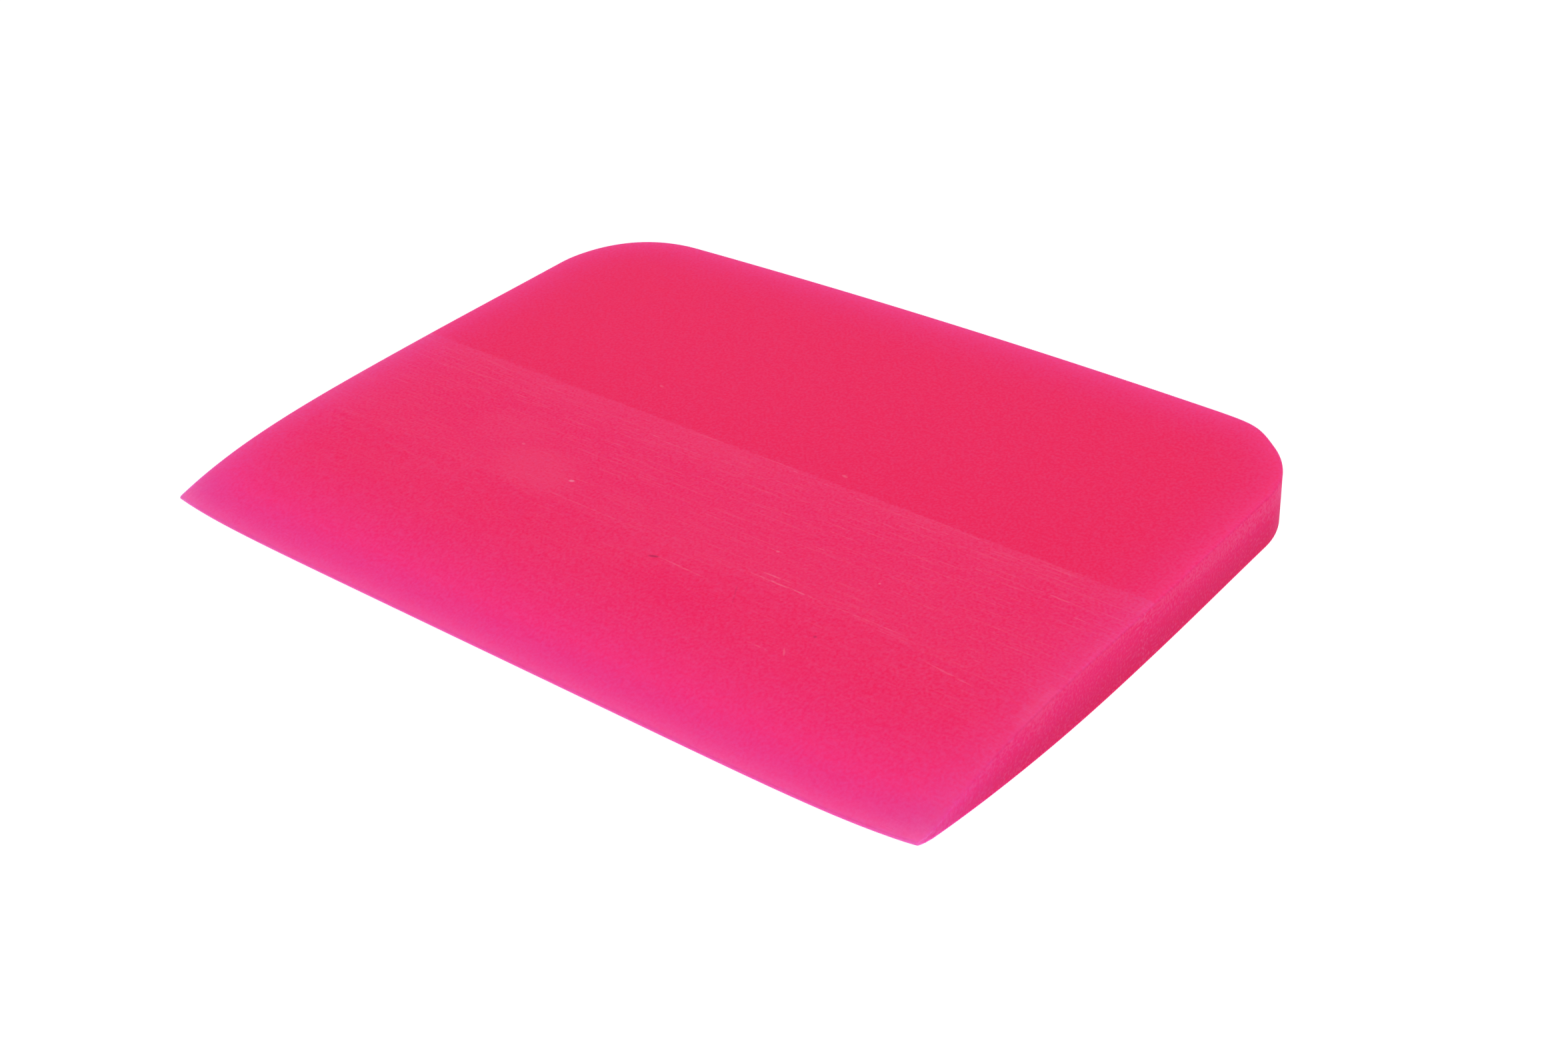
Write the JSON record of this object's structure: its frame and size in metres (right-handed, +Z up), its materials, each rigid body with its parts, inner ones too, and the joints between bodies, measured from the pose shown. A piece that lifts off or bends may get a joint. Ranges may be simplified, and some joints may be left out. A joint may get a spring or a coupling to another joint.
{
  "type": "squeegee blade",
  "caption": "One-piece translucent pink polyurethane squeegee blade: a flat rectangular pad with rounded back corners, ground on both faces to a thin straight working edge.",
  "frame": {"origin": "under the middle of the blade, on the plane of its flat underside", "axes": "+X along the working edge, +Y from the working edge to the back, +Z up out of the top face"},
  "size_m": [0.1016, 0.0762, 0.0063],
  "materials": {
    "polyurethane": "satin cast faces, finely sanded towards the working edge, translucent at the rims"
  },
  "bodies": {
    "root": {"squeegee_blade": "polyurethane"}
  },
  "joints": []
}
